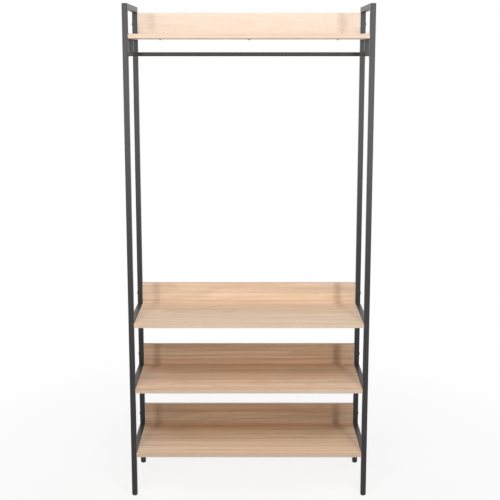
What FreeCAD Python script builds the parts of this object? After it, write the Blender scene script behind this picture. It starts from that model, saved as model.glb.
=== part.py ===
import FreeCAD, Part
import math
import os

# A clothes rack: two welded side frames of square tube carry four laminated shelves,
# each with a low backboard, and a hanging rail under the top shelf.
# Millimetres. X runs from left to right, the front faces -Y, Z rises from the floor.
# The origin is on the floor, under the middle of the rack.

# Side frames
frame_width = 900.0
frame_depth = 350.0
frame_height = 1850.0
tube_size = 20.0
tube_wall = 1.2
tube_corner_radius = 2.0

# Shelves and backboards
board_thickness = 16.0
board_edge_bevel = 0.6
bottom_shelf_height = 172.0
shelf_pitch = 255.0
backboard_height = 84.0
top_backboard_gap = 2.0

# Hanging rail and the struts that hold it
rail_diameter = 15.0
rail_wall = 1.2
rail_drop = 54.0
rail_plug_length = 18.0
strut_cap_lid = 1.5
strut_cap_depth = 2.0
strut_cap_gap = 0.7

# Bolts, insert nuts and screws
bolt_diameter = 6.0
bolt_head_diameter = 12.0
bolt_head_rim = 1.0
bolt_head_crown = 1.4
bolt_crown_diameter = 7.0
bolt_socket_width = 4.0
bolt_socket_depth = 1.8
shelf_bolt_inset = 65.0
insert_nut_diameter = 10.0
insert_nut_length = 15.0
insert_hole_relief = 2.0
screw_diameter = 4.0
screw_head_diameter = 10.0
screw_head_rim = 1.0
screw_head_crown = 1.4
screw_crown_diameter = 6.0
screw_bite = 20.0
screw_tip = 4.0
screw_tip_diameter = 1.0
screw_inset = 86.0

# Levelling feet
foot_pad_diameter = 20.0
foot_pad_height = 6.0
foot_pad_floor = 2.5
foot_pad_edge_radius = 2.5
foot_head_diameter = 13.0
foot_stem_diameter = 8.0
foot_stem_reach = 28.0
foot_stem_tip = 1.0
foot_insert_flange = 2.0
foot_insert_depth = 24.0
foot_insert_ribs = 3
foot_insert_rib_height = 2.0
foot_insert_rib_depth = 1.5

# Flat sides in place of small rounds, and the steps of a pad's rounded edge
hexagon_sides = 6
shank_sides = 6
head_sides = 10
pad_sides = 24
pad_edge_steps = 2

# Clearances
bolted_gap = 0.3
bolt_hole_clearance = 0.3
plug_clearance = 0.1
seat_clearance = 0.05
thread_clearance = 0.05

# Planes and radii that several pieces share
half_width = frame_width / 2
half_depth = frame_depth / 2
frame_inner = half_width - tube_size
tube_centre_x = half_width - tube_size / 2
tube_bore = tube_size - 2 * tube_wall
post_centre_y = half_depth - tube_size / 2
post_bottom = foot_pad_height + foot_insert_flange
half_span = frame_inner - bolted_gap
backboard_rear = post_centre_y + board_thickness / 2
bolt_hole_radius = bolt_diameter / 2 + bolt_hole_clearance
tapped_radius = bolt_diameter / 2 + seat_clearance
top_shelf_height = frame_height - tube_size - top_backboard_gap - backboard_height
strut_top = top_shelf_height - board_thickness / 2 - tube_size / 2
rail_height = strut_top - rail_drop
strut_tube_bottom = rail_height - bolt_hole_radius - strut_cap_gap - strut_cap_depth

shelf_heights = {
    "bottom": bottom_shelf_height,
    "lower": bottom_shelf_height + shelf_pitch,
    "middle": bottom_shelf_height + 2 * shelf_pitch,
    "top": top_shelf_height,
}
sides = {"left": -1, "right": 1}
rows = {"front": -1, "rear": 1}
shelf_bolt_ys = [row * (post_centre_y - shelf_bolt_inset) for row in rows.values()]
screw_xs = [step * (half_span - screw_inset) for step in (-1, 0, 1)]

X_AXIS = FreeCAD.Vector(1, 0, 0)
Y_AXIS = FreeCAD.Vector(0, 1, 0)
Z_AXIS = FreeCAD.Vector(0, 0, 1)


def at(x, y, z):
    return FreeCAD.Vector(x, y, z)


def laid(shape, position, axis):
    """A copy of a shape made along Z, laid along an axis with its origin at a position."""
    copy = shape.copy()
    placement = FreeCAD.Placement(position, FreeCAD.Rotation(Z_AXIS, axis))
    copy.Placement = placement.multiply(copy.Placement)
    return copy


def square_bar(size_x, size_y, length):
    """A square-edged bar along Z, centred on the axis."""
    return Part.makeBox(size_x, size_y, length, at(-size_x / 2, -size_y / 2, 0))


def long_edges(shape):
    """The edges that run the whole length of a bar along Z."""
    return [edge for edge in shape.Edges if edge.BoundBox.ZLength > shape.BoundBox.ZLength / 2]


def tube_blank(length):
    """A bar with the outside of the frame's tube, its four long edges rounded."""
    blank = square_bar(tube_size, tube_size, length)
    return blank.makeFillet(tube_corner_radius, long_edges(blank))


def square_tube(length):
    """A length of square tube along Z, open at both ends."""
    return tube_blank(length).cut(square_bar(tube_bore, tube_bore, length))


def flat_sided(points, sides):
    """A solid about Z with flat sides, from (radius, height) points up its outline."""
    turns = [FreeCAD.Rotation(Z_AXIS, 360 * step / sides) for step in range(sides + 1)]
    rings = [[turn.multVec(at(radius, 0, height)) for turn in turns] for radius, height in points]
    outlines = [rings[0], rings[-1]]
    for lower, upper in zip(rings, rings[1:]):
        for step in range(sides):
            outlines.append([lower[step], lower[step + 1], upper[step + 1], upper[step], lower[step]])
    faces = [Part.Face(Part.makePolygon(outline)) for outline in outlines]
    return Part.makeSolid(Part.makeShell(faces))


def rod(radius, length, sides):
    """A straight length of a fastener or of its hole, along Z."""
    return flat_sided([(radius, 0), (radius, length)], sides)


def shelf_centre(height):
    """The middle of a shelf's thickness, which its bars and bolts share."""
    return height - board_thickness / 2


def backboard_centre(height):
    """The middle of a backboard's height, where its bolts go."""
    return height + backboard_height / 2


def cross_hole(y, z):
    """A bolt hole cutter that runs along X right across the rack."""
    return laid(rod(bolt_hole_radius, 2 * frame_width, shank_sides), at(-frame_width, y, z), X_AXIS)


def mitre_wedge(row, above):
    """The waste above or below the 45 degree cut at a frame's front or rear top corner."""
    outer = (half_depth + tube_size, frame_height + tube_size)
    inner = (half_depth - 2 * tube_size, frame_height - 2 * tube_size)
    waste = (inner[0], outer[1]) if above else (outer[0], inner[1])
    corners = [at(-frame_width, row * y, z) for y, z in (outer, inner, waste)]
    outline = Part.makePolygon(corners + corners[:1])
    return Part.Face(outline).extrude(X_AXIS * (2 * frame_width))


def post(side, row):
    """An upright, mitred at the top; the rear ones are drilled for the backboard bolts."""
    foot = at(side * tube_centre_x, row * post_centre_y, post_bottom)
    upright = laid(square_tube(frame_height - post_bottom), foot, Z_AXIS)
    upright = upright.cut(mitre_wedge(row, above=True))
    if row == rows["rear"]:
        for height in shelf_heights.values():
            upright = upright.cut(cross_hole(post_centre_y, backboard_centre(height)))
    return upright


def frame_top_bar(side):
    """The bar that joins the post tops, mitred at both ends."""
    start = at(side * tube_centre_x, -half_depth, frame_height - tube_size / 2)
    tube = laid(square_tube(frame_depth), start, Y_AXIS)
    for row in rows.values():
        tube = tube.cut(mitre_wedge(row, above=False))
    return tube


def shelf_bar(side, height):
    """A bar between the posts at a shelf's end, level with the middle of its thickness."""
    start = at(side * tube_centre_x, tube_size - half_depth, shelf_centre(height))
    tube = laid(square_tube(frame_depth - 2 * tube_size), start, Y_AXIS)
    for y in shelf_bolt_ys:
        tube = tube.cut(cross_hole(y, shelf_centre(height)))
    return tube


def rail_strut(side):
    """A short tube under the top shelf bar, drilled for the rail's bolt."""
    foot = at(side * tube_centre_x, 0, strut_tube_bottom)
    tube = laid(square_tube(strut_top - strut_tube_bottom), foot, Z_AXIS)
    return tube.cut(cross_hole(0, rail_height))


def strut_cap(side):
    """A moulded lid that closes a strut's lower end and plugs into its bore."""
    plug_size = tube_bore - 2 * plug_clearance
    plug = square_bar(plug_size, plug_size, strut_cap_lid + strut_cap_depth)
    cap = tube_blank(strut_cap_lid).fuse(plug)
    return laid(cap, at(side * tube_centre_x, 0, strut_tube_bottom - strut_cap_lid), Z_AXIS)


def hanging_rail():
    """A round tube between the two struts."""
    tube = Part.makeCylinder(rail_diameter / 2, 2 * half_span)
    bore = Part.makeCylinder(rail_diameter / 2 - rail_wall, 2 * half_span)
    return laid(tube.cut(bore), at(-half_span, 0, rail_height), X_AXIS)


def insert_nut():
    """A sleeve along Z with a bolt's thread in it."""
    sleeve = rod(insert_nut_diameter / 2, insert_nut_length, shank_sides)
    return sleeve.cut(rod(tapped_radius, insert_nut_length, shank_sides))


def rail_plug():
    """A sleeve like an insert nut, as wide as the rail's bore."""
    radius = rail_diameter / 2 - rail_wall - seat_clearance
    sleeve = rod(radius, rail_plug_length, head_sides)
    return sleeve.cut(rod(tapped_radius, rail_plug_length, shank_sides))


def nut_socket(side, y, z):
    """The blind hole in a board's end that takes an insert nut."""
    radius = insert_nut_diameter / 2 + seat_clearance
    hole = rod(radius, insert_nut_length + insert_hole_relief, shank_sides)
    return laid(hole, at(side * half_span, y, z), X_AXIS * -side)


def low_head(diameter, rim, crown, crown_diameter):
    """The head of a bolt or screw, on Z from its seat at the origin, with a tapered crown."""
    outline = [
        (diameter / 2, 0),
        (diameter / 2, rim),
        (crown_diameter / 2, rim + crown),
    ]
    return flat_sided(outline, head_sides)


def wood_screw():
    """A screw along -Z from its head's seat at the origin."""
    reach = board_thickness + screw_bite
    outline = [
        (screw_tip_diameter / 2, -reach),
        (screw_diameter / 2, screw_tip - reach),
        (screw_diameter / 2, 0),
    ]
    shank = flat_sided(outline, shank_sides)
    return low_head(screw_head_diameter, screw_head_rim, screw_head_crown, screw_crown_diameter).fuse(shank)


def screw_hole():
    """The hole for a wood screw, with its mouth at the origin."""
    hole = rod(screw_diameter / 2 + seat_clearance, board_thickness + screw_bite, shank_sides)
    return laid(hole, at(0, 0, 0), -Z_AXIS)


def socket_bolt(thread_length):
    """A bolt along -Z from its head's seat at the origin, with a socket in its head."""
    reach = tube_size + bolted_gap + thread_length
    head = low_head(bolt_head_diameter, bolt_head_rim, bolt_head_crown, bolt_crown_diameter)
    shank = laid(rod(bolt_diameter / 2, reach, shank_sides), at(0, 0, -reach), Z_AXIS)
    socket = rod(bolt_socket_width / math.sqrt(3), bolt_socket_depth, hexagon_sides)
    socket_floor = at(0, 0, bolt_head_rim + bolt_head_crown - bolt_socket_depth)
    return head.fuse(shank).cut(laid(socket, socket_floor, Z_AXIS))


def board(size_y, size_z, centre_z):
    """A board along X between the frames, its long edges eased and its rear on one plane."""
    blank = square_bar(size_z, size_y, 2 * half_span)
    eased = blank.makeChamfer(board_edge_bevel, long_edges(blank))
    return laid(eased, at(-half_span, backboard_rear - size_y / 2, centre_z), X_AXIS)


def screw_row(screw, height):
    """The row of screws, or of their holes, from below a shelf into its backboard."""
    underside = height - board_thickness
    return Part.makeCompound([laid(screw, at(x, post_centre_y, underside), -Z_AXIS) for x in screw_xs])


def shelf(height):
    """A shelf: flush with the front posts, drilled at its ends and under its backboard."""
    panel = board(half_depth + backboard_rear, board_thickness, shelf_centre(height))
    for side in sides.values():
        for y in shelf_bolt_ys:
            panel = panel.cut(nut_socket(side, y, shelf_centre(height)))
    return panel.cut(screw_row(screw_hole(), height))


def backboard(height):
    """A low board on a shelf's rear edge, between the rear posts."""
    panel = board(board_thickness, backboard_height, backboard_centre(height))
    for side in sides.values():
        panel = panel.cut(nut_socket(side, post_centre_y, backboard_centre(height)))
    return panel.cut(screw_row(screw_hole(), height))


def bolt_group(bolt, points):
    """A bolt through each side frame at each (y, z) point, with its head outside."""
    seats = [(side, at(side * half_width, y, z)) for side in sides.values() for y, z in points]
    return Part.makeCompound([laid(bolt, seat, X_AXIS * side) for side, seat in seats])


def sleeve_group(sleeve, points):
    """A threaded sleeve in each end of what the bolts hold, flush with the end."""
    mouths = [(side, at(side * half_span, y, z)) for side in sides.values() for y, z in points]
    return Part.makeCompound([laid(sleeve, mouth, X_AXIS * -side) for side, mouth in mouths])


def foot_insert():
    """A moulded plug for a post's lower end: a flange, a ribbed core and the foot's thread."""
    rib_size = tube_bore - 2 * plug_clearance
    core_size = rib_size - 2 * foot_insert_rib_depth
    core_top = foot_insert_flange + foot_insert_depth
    rib_pitch = foot_insert_depth / foot_insert_ribs
    core = square_bar(core_size, core_size, core_top)
    insert = tube_blank(foot_insert_flange).fuse(core)
    rib = square_bar(rib_size, rib_size, foot_insert_rib_height)
    for step in range(foot_insert_ribs):
        rib_top = core_top - step * rib_pitch
        insert = insert.fuse(laid(rib, at(0, 0, rib_top - foot_insert_rib_height), Z_AXIS))
    return insert.cut(rod(foot_stem_diameter / 2 + thread_clearance, core_top, head_sides))


def stem_head(clearance):
    """The stem's hexagonal head, held in the pad; with clearance, its socket."""
    head = rod(foot_head_diameter / 2 + clearance, foot_pad_height - foot_pad_floor, hexagon_sides)
    return laid(head, at(0, 0, foot_pad_floor), Z_AXIS)


def foot_pad():
    """A round moulded pad with a rounded lower edge and a socket for the stem's head."""
    edge = foot_pad_edge_radius
    flat_radius = foot_pad_diameter / 2 - edge
    outline = []
    for step in range(pad_edge_steps + 1):
        angle = math.pi / 2 * step / pad_edge_steps
        outline.append((flat_radius + edge * math.sin(angle), edge - edge * math.cos(angle)))
    outline.append((foot_pad_diameter / 2, foot_pad_height))
    return flat_sided(outline, pad_sides).cut(stem_head(seat_clearance))


def foot_stem():
    """A steel screw whose head is held in the pad."""
    stem_top = foot_pad_height + foot_stem_reach
    outline = [
        (foot_stem_diameter / 2, foot_pad_height),
        (foot_stem_diameter / 2, stem_top - foot_stem_tip),
        (foot_stem_diameter / 2 - foot_stem_tip, stem_top),
    ]
    return stem_head(0).fuse(flat_sided(outline, head_sides))


nodes = {}

# Welded side frames
for side_name, side in sides.items():
    for row_name, row in rows.items():
        nodes[f"{side_name}_{row_name}_post"] = post(side, row)
    nodes[f"{side_name}_frame_top_bar"] = frame_top_bar(side)
    for level, height in shelf_heights.items():
        nodes[f"{side_name}_{level}_shelf_bar"] = shelf_bar(side, height)
    nodes[f"{side_name}_rail_strut"] = rail_strut(side)
nodes["strut_end_caps"] = Part.makeCompound([strut_cap(side) for side in sides.values()])

# Boards
for level, height in shelf_heights.items():
    nodes[f"{level}_shelf"] = shelf(height)
    nodes[f"{level}_backboard"] = backboard(height)

# Hanging rail
nodes["hanging_rail"] = hanging_rail()

# Fasteners, each kind in one group
shelf_points = [(y, shelf_centre(height)) for height in shelf_heights.values() for y in shelf_bolt_ys]
backboard_points = [(post_centre_y, backboard_centre(height)) for height in shelf_heights.values()]
rail_points = [(0, rail_height)]
nodes["shelf_bolts"] = bolt_group(socket_bolt(insert_nut_length), shelf_points)
nodes["shelf_insert_nuts"] = sleeve_group(insert_nut(), shelf_points)
nodes["backboard_bolts"] = bolt_group(socket_bolt(insert_nut_length), backboard_points)
nodes["backboard_insert_nuts"] = sleeve_group(insert_nut(), backboard_points)
nodes["rail_bolts"] = bolt_group(socket_bolt(rail_plug_length), rail_points)
nodes["rail_end_plugs"] = sleeve_group(rail_plug(), rail_points)
screw_rows = [screw_row(wood_screw(), height) for height in shelf_heights.values()]
nodes["backboard_screws"] = Part.makeCompound([screw for row in screw_rows for screw in row.Solids])

# Levelling feet, each under its own post
for side_name, side in sides.items():
    for row_name, row in rows.items():
        corner = f"{side_name}_{row_name}"
        floor_point = at(side * tube_centre_x, row * post_centre_y, 0)
        insert_base = floor_point + Z_AXIS * foot_pad_height
        nodes[f"{corner}_foot_insert"] = laid(foot_insert(), insert_base, Z_AXIS)
        nodes[f"{corner}_foot_pad"] = laid(foot_pad(), floor_point, Z_AXIS)
        nodes[f"{corner}_foot_stem"] = laid(foot_stem(), floor_point, Z_AXIS)

os.makedirs("parts", exist_ok=True)
for name, shape in nodes.items():
    shape.exportStep(f"parts/{name}.step")
    print(f"{name}: {len(shape.Solids)} solids, {shape.Volume / 1000:.2f} cm3, valid {shape.isValid()}")
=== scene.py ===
import math

import bmesh
import bpy
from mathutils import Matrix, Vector


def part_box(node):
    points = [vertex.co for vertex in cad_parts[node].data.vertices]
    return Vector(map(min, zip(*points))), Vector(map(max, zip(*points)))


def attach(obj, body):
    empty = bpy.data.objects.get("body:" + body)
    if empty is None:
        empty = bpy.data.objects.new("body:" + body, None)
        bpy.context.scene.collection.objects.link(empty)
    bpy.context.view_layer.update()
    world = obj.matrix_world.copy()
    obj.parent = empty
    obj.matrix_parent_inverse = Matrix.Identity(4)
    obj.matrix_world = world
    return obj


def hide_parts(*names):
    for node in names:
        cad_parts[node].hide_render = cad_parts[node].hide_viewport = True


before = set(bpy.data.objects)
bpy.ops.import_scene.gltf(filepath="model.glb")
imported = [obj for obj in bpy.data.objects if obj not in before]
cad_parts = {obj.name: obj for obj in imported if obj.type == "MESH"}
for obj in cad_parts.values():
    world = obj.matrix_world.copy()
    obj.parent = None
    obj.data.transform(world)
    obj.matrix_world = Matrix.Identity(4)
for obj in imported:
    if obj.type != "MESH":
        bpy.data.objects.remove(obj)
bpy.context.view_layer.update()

# Side frames: square steel tubes, mitred at the top corners and welded. A fine-textured
# anthracite powder coat is baked on after welding. Its skin has a slight orange peel,
# and handling has rubbed its edges a little smoother and paler.

sides = {"left": -1, "right": 1}
rows = {"front": -1, "rear": 1}
shelf_tops = {"bottom": 172.0, "lower": 427.0, "middle": 682.0, "top": 1744.0}


def add(tree, kind, inputs=None, **settings):
    """A new shader node; each input takes a value, or another node's output to link to."""
    node = tree.nodes.new("ShaderNode" + kind)
    for name, value in settings.items():
        setattr(node, name, value)
    for name, value in (inputs or {}).items():
        if isinstance(value, bpy.types.NodeSocket):
            tree.links.new(value, node.inputs[name])
        else:
            node.inputs[name].default_value = value
    return node


def sum_of(tree, operation, *values):
    """The result of a sum on numbers or outputs."""
    return add(tree, "Math", dict(enumerate(values)), operation=operation).outputs[0]


def rest_of(tree, mask):
    """What a mask leaves of 1."""
    return sum_of(tree, "SUBTRACT", 1.0, mask)


def weighed(tree, first, second, share):
    """A share of a first value, and the rest of a second."""
    rest = sum_of(tree, "MULTIPLY", second, 1 - share)
    return sum_of(tree, "MULTIPLY_ADD", first, share, rest)


def vector_measure(tree, operation, *values):
    """The number that comes of a sum on vectors or outputs."""
    return add(tree, "VectorMath", dict(enumerate(values)), operation=operation).outputs["Value"]


def noise(tree, vector, scale, detail=2.0, roughness=0.5):
    """A noise texture's value at a vector."""
    inputs = {"Vector": vector, "Scale": scale, "Detail": detail, "Roughness": roughness}
    return add(tree, "TexNoise", inputs).outputs["Fac"]


def rise(tree, value, low, high):
    """A mask that rises smoothly from 0 at a low value to 1 at a high one."""
    inputs = {"Value": value, "From Min": low, "From Max": high}
    return add(tree, "MapRange", inputs, interpolation_type="SMOOTHSTEP").outputs["Result"]


def spread(tree, mask, low, high):
    """A mask spread out from one value, at 0, to another, at 1."""
    return add(tree, "MapRange", {"Value": mask, "To Min": low, "To Max": high}).outputs["Result"]


def mixed(tree, mask, first, second, share=1.0):
    """A colour that goes from a first to a share of a second as a mask goes from 0 to 1."""
    part = sum_of(tree, "MULTIPLY", mask, share)
    return add(tree, "MixRGB", {"Fac": part, "Color1": first, "Color2": second}).outputs["Color"]


def new_group(name, inputs, outputs):
    """A shader node group with named sockets, and the nodes at its two ends."""
    tree = bpy.data.node_groups.new(name, "ShaderNodeTree")
    for direction, sockets in (("INPUT", inputs), ("OUTPUT", outputs)):
        for socket, kind in sockets.items():
            tree.interface.new_socket(socket, in_out=direction, socket_type="NodeSocket" + kind)
    return tree, tree.nodes.new("NodeGroupInput"), tree.nodes.new("NodeGroupOutput")


def put_out(tree, end, **results):
    """Links a group's results to its named outputs."""
    for name, result in results.items():
        tree.links.new(result, end.inputs[name])


def use_group(tree, group, **inputs):
    """A node group placed in a material, and its outputs by name."""
    node = tree.nodes.new("ShaderNodeGroup")
    node.node_tree = group
    for name, value in inputs.items():
        node.inputs[name].default_value = value
    return node.outputs


def new_material(name):
    """A material, its node tree and its main shader."""
    material = bpy.data.materials.new(name)
    material.use_nodes = True
    return material, material.node_tree, material.node_tree.nodes["Principled BSDF"]


def dress(tree, shader, colour, roughness, normal):
    """Links a surface's colour, roughness and normal to its shader."""
    tree.links.new(colour, shader.inputs["Base Color"])
    tree.links.new(roughness, shader.inputs["Roughness"])
    tree.links.new(normal, shader.inputs["Normal"])


def srgb(red, green, blue):
    """A colour from screen values of 0 to 255."""
    screen = [channel / 255 for channel in (red, green, blue)]
    return (*[((value + 0.055) / 1.055) ** 2.4 for value in screen], 1.0)


coat_group, _, coat_end = new_group(
    "powder_coat_skin", {}, {"Shade": "Float", "Rub": "Float", "Normal": "Vector"})
place = add(coat_group, "TexCoord").outputs["Object"]
cloud = noise(coat_group, place, scale=6.0, detail=3.0)
peel = noise(coat_group, place, scale=260.0, detail=1.0)
sand = noise(coat_group, place, scale=700.0, detail=2.0)
shade = weighed(coat_group, cloud, sand, share=0.6)
relief = weighed(coat_group, peel, sand, share=0.7)
bump = add(coat_group, "Bump", {"Height": relief, "Strength": 0.35, "Distance": 0.0004})
rounded = add(coat_group, "Bevel", {"Radius": 0.002}, samples=4).outputs["Normal"]
flat = add(coat_group, "NewGeometry").outputs["Normal"]
facing = vector_measure(coat_group, "DOT_PRODUCT", rounded, flat)
rub = rise(coat_group, rest_of(coat_group, facing), low=0.005, high=0.12)
put_out(coat_group, coat_end, Shade=shade, Rub=rub, Normal=bump.outputs["Normal"])

dark_coat = srgb(29, 27, 29)
light_coat = srgb(42, 39, 41)
rubbed_edge = srgb(84, 81, 82)
coat, tree, shader = new_material("powder_coat")
skin = use_group(tree, coat_group)
tone = mixed(tree, skin["Shade"], dark_coat, light_coat)
tone = mixed(tree, skin["Rub"], tone, rubbed_edge, share=0.3)
dress(tree, shader, tone, spread(tree, skin["Rub"], low=0.38, high=0.32), skin["Normal"])
shader.inputs["Specular IOR Level"].default_value = 0.46

for side in sides:
    tubes = [f"{side}_frame_top_bar", f"{side}_rail_strut"]
    tubes += [f"{side}_{row}_post" for row in rows]
    tubes += [f"{side}_{level}_shelf_bar" for level in shelf_tops]
    for name in tubes:
        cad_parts[name].material_slots[0].material = coat

# Weld seams: a short bead in each corner where a cross tube meets a post, and where a
# strut hangs from its shelf bar. The ripples of the weld pool still show under the
# powder coat.

tube = 20.0
frame_x = 440.0
post_y = 165.0
frame_top = 1850.0
bar_drop = 8.0
bead_length = 16.0
bead_leg = 2.6
bead_swell = 0.12
bead_ripples = 9
ripple_depth = 0.14
tail_size = 0.45
tail_growth = 5.0
stations_per_ripple = 4
arc_steps = 4
smooth_angle = 35.0


def weld_bead(corner, first_leg, second_leg):
    """A rippled fillet along X in a corner, between two faces that run the ways of its legs."""
    stations = bead_ripples * stations_per_ripple
    ring = arc_steps + 2
    points = []
    for station in range(stations + 1):
        share = station / stations
        ripple = 1 - ripple_depth + ripple_depth * abs(math.sin(math.pi * bead_ripples * share))
        tail = min(1.0, tail_size + tail_growth * min(share, 1 - share))
        leg = bead_leg * ripple * tail
        base = Vector(corner) + Vector(((share - 0.5) * bead_length, 0, 0))
        points.append(base)
        for step in range(arc_steps + 1):
            turn = step / arc_steps
            swell = bead_swell * math.sin(math.pi * turn)
            reach = (1 - turn + swell) * first_leg + (turn + swell) * second_leg
            points.append(base + leg * reach)
    faces = [tuple(range(ring)), tuple(range(stations * ring, (stations + 1) * ring))]
    for station in range(stations):
        for step in range(ring):
            here = station * ring + step
            after = station * ring + (step + 1) % ring
            faces.append((here, after, after + ring, here + ring))
    return points, faces


def new_piece(name, shapes, material, body="rack", replaced=()):
    """A piece of one or more shapes in millimetres, each a list of points and one of faces."""
    points = []
    faces = []
    for shape_points, shape_faces in shapes:
        faces += [[len(points) + index for index in face] for face in shape_faces]
        points += [Vector(point) / 1000 for point in shape_points]
    mesh = bpy.data.meshes.new(name)
    mesh.from_pydata(points, [], faces)
    shell = bmesh.new()
    shell.from_mesh(mesh)
    bmesh.ops.recalc_face_normals(shell, faces=shell.faces)
    shell.to_mesh(mesh)
    shell.free()
    mesh.shade_smooth()
    mesh.set_sharp_from_angle(angle=math.radians(smooth_angle))
    mesh.materials.append(material)
    piece = bpy.data.objects.new(name, mesh)
    bpy.context.scene.collection.objects.link(piece)
    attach(piece, body)
    if replaced:
        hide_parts(*replaced)


up = Vector((0, 0, 1))
for side, side_sign in sides.items():
    beads = []
    post_x = side_sign * frame_x
    for row_sign in rows.values():
        inward = Vector((0, -row_sign, 0))
        post_face = row_sign * (post_y - tube / 2)
        for shelf_top in shelf_tops.values():
            for way in (-1, 1):
                bar_face = shelf_top - bar_drop + way * tube / 2
                beads.append(weld_bead((post_x, post_face, bar_face), way * up, inward))
        mitre = (post_x, post_face, frame_top - tube)
        beads.append(weld_bead(mitre, -up, inward))
        strut = (post_x, row_sign * tube / 2, shelf_tops["top"] - bar_drop - tube / 2)
        beads.append(weld_bead(strut, -up, -inward))
    new_piece(f"{side}_weld_seams", beads, coat)

# Strut end caps: moulded black plastic lids, pressed into the open lower ends of the
# two struts. The mould leaves a fine matt grain.

plastic_group, _, plastic_end = new_group(
    "moulded_skin", {}, {"Shade": "Float", "Normal": "Vector"})
place = add(plastic_group, "TexCoord").outputs["Object"]
shade = noise(plastic_group, place, scale=90.0)
grain = noise(plastic_group, place, scale=1100.0, detail=3.0)
bump = add(plastic_group, "Bump", {"Height": grain, "Strength": 0.3, "Distance": 0.0003})
put_out(plastic_group, plastic_end, Shade=shade, Normal=bump.outputs["Normal"])

dark_plastic = srgb(26, 26, 27)
light_plastic = srgb(42, 41, 42)
plastic, tree, shader = new_material("moulded_plastic")
skin = use_group(tree, plastic_group)
tone = mixed(tree, skin["Shade"], dark_plastic, light_plastic)
dress(tree, shader, tone, spread(tree, skin["Shade"], low=0.55, high=0.7), skin["Normal"])
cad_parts["strut_end_caps"].material_slots[0].material = plastic

# Shelves and backboards: particle board faced with light oak laminate, its grain along
# the length. The print shows growth rings as long streaks and a few arched figures, its
# pores are pressed in, and a paler band is glued along each cut edge.

rings_per_metre = 120.0
sway_reach = 0.05
trunk_lean = (1.0, 0.02, 0.035)
fibre_height = 0.3
pore_height = -1.0
dark_streak = srgb(203, 170, 138)
light_streak = srgb(236, 211, 184)
blush_tone = srgb(229, 188, 161)
honey_tone = srgb(237, 210, 170)
# Painted glare: a pale tone for the shown faces of boards where strong light falls.
painted_glare_tone = srgb(234, 219, 204)
late_tone = srgb(195, 156, 121)
fibre_tone = srgb(201, 166, 133)
pore_tone = srgb(157, 118, 86)
band_tone = srgb(212, 191, 171)
glue_tone = srgb(176, 140, 108)

oak_group, oak_start, oak_end = new_group(
    "oak_laminate",
    {"Heart": "Vector", "Face": "Vector", "Pale": "Float", "Light": "Float"},
    {"Colour": "Color", "Pores": "Float", "Normal": "Vector"})


def vector_sum(tree, operation, *values):
    """The vector that comes of a sum on vectors or outputs."""
    return add(tree, "VectorMath", dict(enumerate(values)), operation=operation).outputs["Vector"]


def drawn_out(wood, along, across):
    """A point of the wood for a texture with so many waves per metre along and across the grain."""
    return vector_sum(oak_group, "MULTIPLY", wood, (along, across, across))


place = add(oak_group, "TexCoord").outputs["Object"]
wood = vector_sum(oak_group, "SUBTRACT", place, oak_start.outputs["Heart"])
sway = drawn_out(wood, along=1.3, across=9.0)
sway = add(oak_group, "TexNoise", {"Vector": sway, "Scale": 1.0, "Detail": 2.0})
sway = vector_sum(oak_group, "SUBTRACT", sway.outputs["Color"], (0.5, 0.5, 0.5))
bent = vector_sum(oak_group, "MULTIPLY_ADD", sway, (0.0, sway_reach, sway_reach), wood)
length = add(oak_group, "SeparateXYZ", {"Vector": bent}).outputs["X"]
trunk = add(oak_group, "CombineXYZ", {"X": length, "Y": length, "Z": length}).outputs["Vector"]
trunk = vector_sum(oak_group, "MULTIPLY", trunk, trunk_lean)
radius = vector_measure(oak_group, "LENGTH", vector_sum(oak_group, "SUBTRACT", bent, trunk))
growth = sum_of(oak_group, "FRACT", sum_of(oak_group, "MULTIPLY", radius, rings_per_metre))
summer = rise(oak_group, growth, low=0.25, high=0.9)
winter = rise(oak_group, growth, low=0.9, high=1.0)
late = sum_of(oak_group, "MULTIPLY", summer, rest_of(oak_group, winter))
streak = drawn_out(wood, along=1.1, across=70.0)
streak = noise(oak_group, streak, scale=1.0, detail=4.0, roughness=0.6)
blush = noise(oak_group, drawn_out(wood, along=0.8, across=22.0), scale=1.0)
honey = noise(oak_group, drawn_out(wood, along=1.6, across=45.0), scale=1.0)
fibre = noise(oak_group, drawn_out(wood, along=14.0, across=800.0), scale=1.0)
pits = noise(oak_group, drawn_out(wood, along=70.0, across=1900.0), scale=1.0, detail=1.0)
pits = rise(oak_group, pits, low=0.6, high=0.68)
pores = sum_of(oak_group, "MULTIPLY", pits, spread(oak_group, late, low=1.0, high=0.3))

normal = add(oak_group, "NewGeometry").outputs["True Normal"]
toward = vector_measure(oak_group, "DOT_PRODUCT", normal, oak_start.outputs["Face"])
shown = rise(oak_group, toward, low=-0.5, high=0.5)
# Painted light and shade: the shown face is paled toward the glare tone and lit or shaded by a gain, per
# board.
pale = sum_of(oak_group, "MULTIPLY", shown, oak_start.outputs["Pale"])
light = spread(oak_group, shown, low=1.0, high=oak_start.outputs["Light"])
flatness = sum_of(oak_group, "ABSOLUTE", toward)
off_edge = rise(oak_group, flatness, low=0.3, high=0.5)
on_face = rise(oak_group, flatness, low=0.8, high=0.95)
band = rest_of(oak_group, off_edge)
glue = sum_of(oak_group, "MULTIPLY", rest_of(oak_group, band), rest_of(oak_group, on_face))

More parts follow.
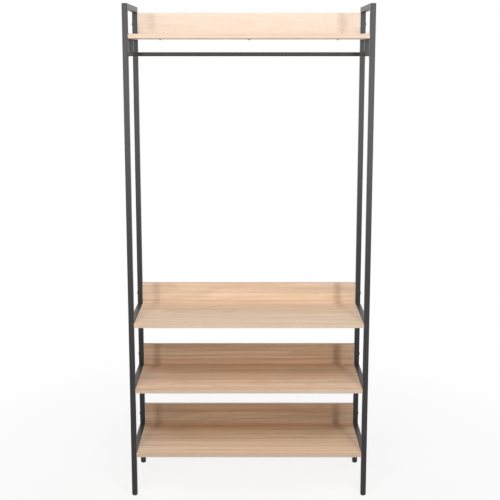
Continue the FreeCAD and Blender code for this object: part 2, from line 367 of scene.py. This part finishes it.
tan = mixed(oak_group, rise(oak_group, streak, low=0.34, high=0.66), dark_streak, light_streak)
tan = mixed(oak_group, rise(oak_group, blush, low=0.42, high=0.62), tan, blush_tone, share=0.7)
tan = mixed(oak_group, rise(oak_group, honey, low=0.48, high=0.64), tan, honey_tone, share=0.55)
tan = mixed(oak_group, pale, tan, painted_glare_tone)
tan = add(oak_group, "VectorMath", {0: tan, "Scale": light}, operation="SCALE").outputs["Vector"]
figure = sum_of(oak_group, "MULTIPLY", late, spread(oak_group, pale, low=1.0, high=0.4))
tan = mixed(oak_group, figure, tan, late_tone, share=0.28)
tan = mixed(oak_group, rise(oak_group, fibre, low=0.5, high=0.75), tan, fibre_tone, share=0.3)
tan = mixed(oak_group, pores, tan, pore_tone, share=0.45)
tan = mixed(oak_group, band, tan, band_tone, share=0.6)
tan = mixed(oak_group, glue, tan, glue_tone, share=0.5)
pressed = sum_of(oak_group, "MULTIPLY", pores, pore_height)
relief = sum_of(oak_group, "MULTIPLY_ADD", fibre, fibre_height, pressed)
bump = add(oak_group, "Bump", {"Height": relief, "Strength": 0.4, "Distance": 0.0002})
put_out(oak_group, oak_end, Colour=tan, Pores=pores, Normal=bump.outputs["Normal"])

# Each board is cut from another part of the print: where the tree's heart lies from the
# board's middle. Its shown face also gets painted light and shade, board by board: a share of painted glare
# that pales the print, and a gain that lightens or darkens it.
board_cuts_and_light = {
    "bottom_shelf": ((0.35, 0.02, -0.11), 0.0, 1.0),
    "bottom_backboard": ((0.06, 0.10, 0.01), 0.0, 0.96),
    "lower_shelf": ((-0.62, -0.09, -0.16), 0.0, 1.0),
    "lower_backboard": ((0.93, 0.15, -0.03), 0.0, 1.02),
    "middle_shelf": ((1.31, 0.05, -0.13), 0.25, 1.13),
    "middle_backboard": ((-0.47, 0.13, 0.02), 0.25, 1.11),
    "top_shelf": ((-1.74, 0.01, -0.12), 0.25, 1.0),
    "top_backboard": ((-0.12, 0.09, -0.01), 0.9, 1.06),
}
for name, (offset, painted_glare_share, painted_light_gain) in board_cuts_and_light.items():
    low, high = (Vector(corner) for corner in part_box(name))
    heart = (low + high) / 2 + Vector(offset)
    face = (0, 0, 1) if name.endswith("shelf") else (0, -1, 0)
    oak, tree, shader = new_material(f"oak_{name}")
    surface = use_group(tree, oak_group, Heart=heart, Face=face, Pale=painted_glare_share, Light=painted_light_gain)
    roughness = spread(tree, surface["Pores"], low=0.48, high=0.62)
    dress(tree, shader, surface["Colour"], roughness, surface["Normal"])
    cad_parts[name].material_slots[0].material = oak

# Insert nuts and rail plugs: zinc-plated steel sleeves with an inner thread, sunk into
# the ends of the boards and of the rail. The plating shows a fine crystal pattern.

zinc_group, _, zinc_end = new_group("zinc_skin", {}, {"Shade": "Float", "Normal": "Vector"})
place = add(zinc_group, "TexCoord").outputs["Object"]
crystals = noise(zinc_group, place, scale=420.0, detail=3.0, roughness=0.6)
bump = add(zinc_group, "Bump", {"Height": crystals, "Strength": 0.15, "Distance": 0.0002})
put_out(zinc_group, zinc_end, Shade=crystals, Normal=bump.outputs["Normal"])

dark_zinc = srgb(168, 171, 174)
light_zinc = srgb(204, 206, 208)
zinc, tree, shader = new_material("zinc_plate")
skin = use_group(tree, zinc_group)
tone = mixed(tree, skin["Shade"], dark_zinc, light_zinc)
dress(tree, shader, tone, spread(tree, skin["Shade"], low=0.25, high=0.42), skin["Normal"])
shader.inputs["Metallic"].default_value = 1.0
for name in ("shelf_insert_nuts", "backboard_insert_nuts", "rail_end_plugs"):
    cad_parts[name].material_slots[0].material = zinc

# Hanging rail: a slim round steel tube between the two struts, powder coated like the frames
# and held by a bolt into the plug in each end. Its coat is painted lighter than the frames' as
# painted light, and its upper side gets a painted highlight, paler and smoother.

# Painted light: the rail's tones are set lighter than the frames' coat.
dark_lit_rail = srgb(46, 45, 45)
light_lit_rail = srgb(60, 58, 58)
rail_painted_highlight = srgb(112, 110, 110)
lit_rail_coat, tree, shader = new_material("lit_rail_powder_coat")
skin = use_group(tree, coat_group)
normal = add(tree, "NewGeometry").outputs["Normal"]
upright = add(tree, "SeparateXYZ", {"Vector": normal}).outputs["Z"]
highlight_breakup = noise(tree, add(tree, "TexCoord").outputs["Object"], scale=45.0, detail=3.0)
# Painted highlight: the rail's upper side, where light from above falls, is made paler in a broken band.
lit_upper_side = rise(tree, upright, low=-0.4, high=0.8)
painted_highlight_mask = sum_of(tree, "MULTIPLY", lit_upper_side, spread(tree, highlight_breakup, low=0.6, high=1.2))
tone = mixed(tree, skin["Shade"], dark_lit_rail, light_lit_rail)
tone = mixed(tree, painted_highlight_mask, tone, rail_painted_highlight, share=0.75)
dress(tree, shader, tone, spread(tree, painted_highlight_mask, low=0.44, high=0.36), skin["Normal"])
shader.inputs["Specular IOR Level"].default_value = 0.4
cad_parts["hanging_rail"].material_slots[0].material = lit_rail_coat

# Bolts: black-plated steel, with a low turned head, a hexagon socket and a rolled thread.
# Each goes through a tube and draws a board or the rail against it.

bolt_corners = 24
bolt_pitch = 1.0
bolt_thread = 0.16
bolt_tip = 0.8
thread_runout = 0.5
shank_radius = 2.6
head_radius = 5.7
head_height = 2.39
head_crown = [(0.0, 0.25), (0.25, 0.0), (1.0, 0.0), (1.5, 0.25), (2.0, 0.95), (2.3, 1.9), (head_height, 2.6)]
socket_mouth = 2.6
socket_bevel = 0.24
socket_radius = 2.31
socket_floor = 0.6
drill_point = 0.3
seat_x = frame_x + tube / 2
shelf_bolt_y = 100.0
shelf_half = 8.0
backboard_half = 42.0
rail_height = 1672.0
rings_per_turn = 4


def circle(angle):
    """The outline of a round, as a share of its radius."""
    return 1.0


def hexagon(angle):
    """The outline of a hexagon, as a share of its corners' radius."""
    return math.cos(math.pi / 6) / math.cos(angle % (math.pi / 3) - math.pi / 6)


def thread(height, pitch, depth):
    """The outline of a screw thread at a height: one crest, that turns as the height rises."""
    def outline(angle):
        return 1.0 - depth * abs(2 * ((height / pitch - angle / math.tau) % 1) - 1)
    return outline


def turned(rings, corners):
    """A solid about Z from rings of (height, radius, outline), up its outside, in at its top."""
    points = []
    for height, radius, outline in rings:
        for angle in (math.tau * step / corners for step in range(corners)):
            reach = radius * outline(angle)
            points.append(Vector((reach * math.cos(angle), reach * math.sin(angle), height)))
    faces = [tuple(range(corners)), tuple(range(len(points) - corners, len(points)))]
    for start in range(0, len(points) - corners, corners):
        next_ring = start + corners
        for step in range(corners):
            after = (step + 1) % corners
            faces.append((start + step, start + after, next_ring + after, next_ring + step))
    return points, faces


def threaded(low, high, radius, pitch, depth):
    """Rings of a screw thread between two heights."""
    count = round(rings_per_turn * (high - low) / pitch)
    heights = [low + (high - low) * step / count for step in range(count + 1)]
    return [(height, radius, thread(height, pitch, depth)) for height in heights]


def rounds(radius, outline):
    """Round rings from an outline of heights, and of how far each stands in from a radius."""
    return [(height, radius - inset, circle) for height, inset in outline]


def set_at(shape, position, axis):
    """A copy of a shape with its origin at a position and its Z along an axis."""
    points, faces = shape
    turn = up.rotation_difference(Vector(axis)).to_matrix()
    return [turn @ point + Vector(position) for point in points], faces


def socket_bolt(reach, threaded_length):
    """A bolt along Z, its head's seat at the origin and its socket on top."""
    rings = [(-reach, shank_radius - bolt_tip, circle)]
    rings += threaded(bolt_tip - reach, threaded_length - reach, shank_radius, bolt_pitch, bolt_thread)
    rings += rounds(shank_radius, [(threaded_length + thread_runout - reach, 0.0), (0.0, 0.0)])
    rings += rounds(head_radius, head_crown)
    rings += [
        (head_height, socket_mouth, circle),
        (head_height - socket_bevel, socket_radius, hexagon),
        (socket_floor, socket_radius, hexagon),
        (drill_point, drill_point, circle),
    ]
    return turned(rings, bolt_corners)


dark_plate = srgb(40, 39, 40)
light_plate = srgb(62, 60, 61)
black_zinc, tree, shader = new_material("black_zinc_plate")
skin = use_group(tree, zinc_group)
tone = mixed(tree, skin["Shade"], dark_plate, light_plate)
dress(tree, shader, tone, spread(tree, skin["Shade"], low=0.3, high=0.48), skin["Normal"])
shader.inputs["Metallic"].default_value = 0.6

board_bolt = socket_bolt(reach=35.3, threaded_length=15.0)
rail_bolt = socket_bolt(reach=38.3, threaded_length=18.0)
shelf_points = []
backboard_points = []
for shelf_top in shelf_tops.values():
    shelf_points += [(y, shelf_top - shelf_half) for y in (-shelf_bolt_y, shelf_bolt_y)]
    backboard_points.append((post_y, shelf_top + backboard_half))
bolt_groups = {
    "shelf_bolts": (board_bolt, shelf_points),
    "backboard_bolts": (board_bolt, backboard_points),
    "rail_bolts": (rail_bolt, [(0, rail_height)]),
}
for name, (bolt, bolt_points) in bolt_groups.items():
    bolts = []
    for sign in sides.values():
        bolts += [set_at(bolt, (sign * seat_x, y, z), (sign, 0, 0)) for y, z in bolt_points]
    new_piece(f"{name}_turned", bolts, black_zinc, replaced=[name])

# Backboard screws: black wood screws with a raised head and a cross recess, driven up
# through each shelf into the backboard that stands on it.

screw_corners = 48
screw_pitch = 1.8
screw_thread = 0.3
screw_radius = 1.72
screw_neck = 1.3
screw_reach = 36.0
neck_start = -11.5
screw_thread_top = -12.0
tip_radius = 0.3
point_radius = 0.45
point_growth = 0.3125
point_steps = 9
screw_head = 4.75
screw_crown = [(0.0, 0.2), (0.2, 0.0), (0.9, 0.0), (1.5, 0.7), (2.05, 1.7), (2.3, 2.3)]
recess_arm = 0.25
screw_x = 343.7


def cross(angle):
    """The outline of a cross recess, as a share of its arms' length."""
    turn = abs((angle + math.pi / 4) % (math.pi / 2) - math.pi / 4)
    return min(1 / math.cos(turn), recess_arm / max(math.sin(turn), 0.01))


screw_rings = [(-screw_reach, tip_radius, circle)]
for step in range(1, point_steps):
    climb = step * screw_pitch / rings_per_turn
    height = climb - screw_reach
    radius = point_radius + point_growth * climb
    screw_rings.append((height, radius, thread(height, screw_pitch, screw_thread)))
point_top = point_steps * screw_pitch / rings_per_turn - screw_reach
screw_rings += threaded(point_top, screw_thread_top, screw_radius, screw_pitch, screw_thread)
screw_rings += rounds(screw_neck, [(neck_start, 0.0), (0.0, 0.0)])
screw_rings += rounds(screw_head, screw_crown)
screw_rings += [(2.4, 2.3, cross), (1.2, 1.5, cross), (0.3, 0.4, circle)]
screw = turned(screw_rings, screw_corners)
screws = []
for shelf_top in shelf_tops.values():
    under_shelf = shelf_top - 2 * shelf_half
    screws += [set_at(screw, (x, post_y, under_shelf), -up) for x in (-screw_x, 0, screw_x)]
new_piece("backboard_screws_turned", screws, black_zinc, replaced=["backboard_screws"])

# Levelling feet: a moulded plug with the thread closes each post's lower end. In it turns
# a zinc-plated screw, whose hexagon head is held in a round plastic pad.

pad_corners = 48
pad_radius = 9.9
pad_edge = 2.5
pad_edge_steps = 6
pad_height = 6.0
pocket_floor = 2.5
pocket_gap = 0.03
pocket_bevel = 0.25
bevel_depth = 0.2
stem_head = 6.45
stem_head_bevel = 0.5
stem_head_sink = 0.05
stem_undercut = 0.5
stem_radius = 3.8
stem_pitch = 1.25
stem_thread = 0.15
stem_tip = 1.0
stem_top = 34.0

pad_rings = rounds(pad_radius, [(0.35, 4.2), (0.0, 3.8)])
for step in range(pad_edge_steps + 1):
    angle = math.pi / 2 * step / pad_edge_steps
    edge_height = pad_edge * (1 - math.cos(angle))
    pad_rings.append((edge_height, pad_radius - pad_edge * (1 - math.sin(angle)), circle))
groove_and_rim = [(0.9, 0.0), (0.75, 0.25), (0.55, 0.25), (0.4, 0.0), (0.2, 0.05), (0.0, 0.3)]
pad_rings += rounds(pad_radius, [(pad_height - depth, inset) for depth, inset in groove_and_rim])
pad_rings += [
    (pad_height, stem_head + pocket_bevel, hexagon),
    (pad_height - bevel_depth, stem_head + pocket_gap, hexagon),
    (pocket_floor, stem_head + pocket_gap, hexagon),
]
pad = turned(pad_rings, pad_corners)
head_top = pad_height - stem_head_sink
stem_rings = [
    (pocket_floor, stem_head, hexagon),
    (head_top - bevel_depth, stem_head, hexagon),
    (head_top, stem_head - stem_head_bevel, hexagon),
    (head_top, stem_radius - stem_undercut, circle),
]
stem_rings += threaded(pad_height, stem_top - stem_tip, stem_radius, stem_pitch, stem_thread)
stem_rings += [(stem_top, stem_radius - stem_tip, circle)]
stem = turned(stem_rings, bolt_corners)
for side, side_sign in sides.items():
    for row, row_sign in rows.items():
        corner = f"{side}_{row}"
        foot = (side_sign * frame_x, row_sign * post_y, 0)
        body = f"{corner}_foot"
        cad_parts[f"{corner}_foot_insert"].material_slots[0].material = plastic
        new_piece(f"{corner}_moulded_pad", [set_at(pad, foot, up)], plastic,
                  body, [f"{corner}_foot_pad"])
        new_piece(f"{corner}_threaded_stem", [set_at(stem, foot, up)], zinc,
                  body, [f"{corner}_foot_stem"])

# Studio: a pale floor that keeps the rack's shadow and fades into a white surround. Two
# broad lamps hang above and before the rack, a tall narrow one stands at each side of
# the camera, and a soft one behind each side of the rack.

floor_reach = 12.0
dark_floor = (0.84, 0.84, 0.84, 1)
light_floor = (0.88, 0.88, 0.88, 1)
white = (1, 1, 1, 1)
camera_lens = 75.45
camera_place = (0.004, -3.97, 1.674)
camera_tilt = 10.61

floor_corners = [(x * floor_reach, y * floor_reach, 0) for x, y in ((-1, -1), (1, -1), (1, 1), (-1, 1))]
floor_mesh = bpy.data.meshes.new("floor")
floor_mesh.from_pydata(floor_corners, [], [(0, 1, 2, 3)])
floor = bpy.data.objects.new("floor", floor_mesh)
bpy.context.scene.collection.objects.link(floor)


def seen_share(tree):
    """1 where a thing is seen, straight, mirrored or through glass, and 0 where it only gives light."""
    path = add(tree, "LightPath").outputs
    seen = sum_of(tree, "MAXIMUM", path["Is Camera Ray"], path["Is Glossy Ray"])
    return sum_of(tree, "MAXIMUM", seen, path["Is Transmission Ray"])


floor_paint, tree, shader = new_material("pale_floor")
floor_mesh.materials.append(floor_paint)
place = add(tree, "TexCoord").outputs["Object"]
speck = noise(tree, place, scale=30.0, detail=4.0)
tree.links.new(mixed(tree, speck, dark_floor, light_floor), shader.inputs["Base Color"])
tree.links.new(spread(tree, speck, low=0.85, high=0.95), shader.inputs["Roughness"])
glow = add(tree, "Emission", {"Color": white, "Strength": 1.0})
away = vector_measure(tree, "LENGTH", place)
fade = spread(tree, rise(tree, away, low=0.5, high=2.2), low=0.84, high=1.0)
share = sum_of(tree, "MULTIPLY", seen_share(tree), fade)
blend = add(tree, "MixShader", {0: share, 1: shader.outputs[0], 2: glow.outputs[0]})
tree.links.new(blend.outputs[0], tree.nodes["Material Output"].inputs["Surface"])

world = bpy.data.worlds.new("studio")
bpy.context.scene.world = world
world.use_nodes = True
tree = world.node_tree
surround = tree.nodes["Background"]
surround.inputs["Color"].default_value = white
outward = add(tree, "TexCoord").outputs["Generated"]
ahead = vector_measure(tree, "DOT_PRODUCT", outward, (0, -1, 0))
given = spread(tree, rise(tree, ahead, low=0.3, high=1.0), low=0.05, high=0.12)
tree.links.new(spread(tree, seen_share(tree), low=given, high=1.0), surround.inputs["Strength"])


def area_lamp(name, position, target, width, depth, power):
    """A soft rectangular lamp that faces a target."""
    data = bpy.data.lights.new(name, "AREA")
    data.shape = "RECTANGLE"
    data.size = width
    data.size_y = depth
    data.energy = power
    lamp = bpy.data.objects.new(name, data)
    lamp.location = position
    lamp.rotation_euler = (Vector(target) - Vector(position)).to_track_quat("-Z", "Y").to_euler()
    bpy.context.scene.collection.objects.link(lamp)


area_lamp("top_lamp", (0, -1.3, 3.4), (0, 0, 0.8), width=1.8, depth=1.2, power=31)
area_lamp("front_lamp", (0, -2.6, 3.3), (0, 0, 1.0), width=1.6, depth=1.6, power=25)
area_lamp("left_lamp", (-0.85, -2.175, 1.6), (-0.2, 0, 1.4), width=0.1, depth=1.4, power=12.4)
area_lamp("right_lamp", (0.95, -2.175, 1.6), (0.2, 0, 1.4), width=0.1, depth=1.4, power=17.6)
area_lamp("left_rear_lamp", (-2.3, 1.9, 1.3), (0, 0, 0.9), width=1.4, depth=1.4, power=34)
area_lamp("right_rear_lamp", (2.3, 1.9, 1.3), (0, 0, 0.9), width=1.4, depth=1.4, power=34)

camera_data = bpy.data.cameras.new("camera")
camera_data.lens = camera_lens
camera = bpy.data.objects.new("camera", camera_data)
camera.location = camera_place
camera.rotation_euler = (math.radians(90 - camera_tilt), 0, 0)
bpy.context.scene.collection.objects.link(camera)
bpy.context.scene.camera = camera
bpy.context.scene.view_settings.view_transform = "Standard"
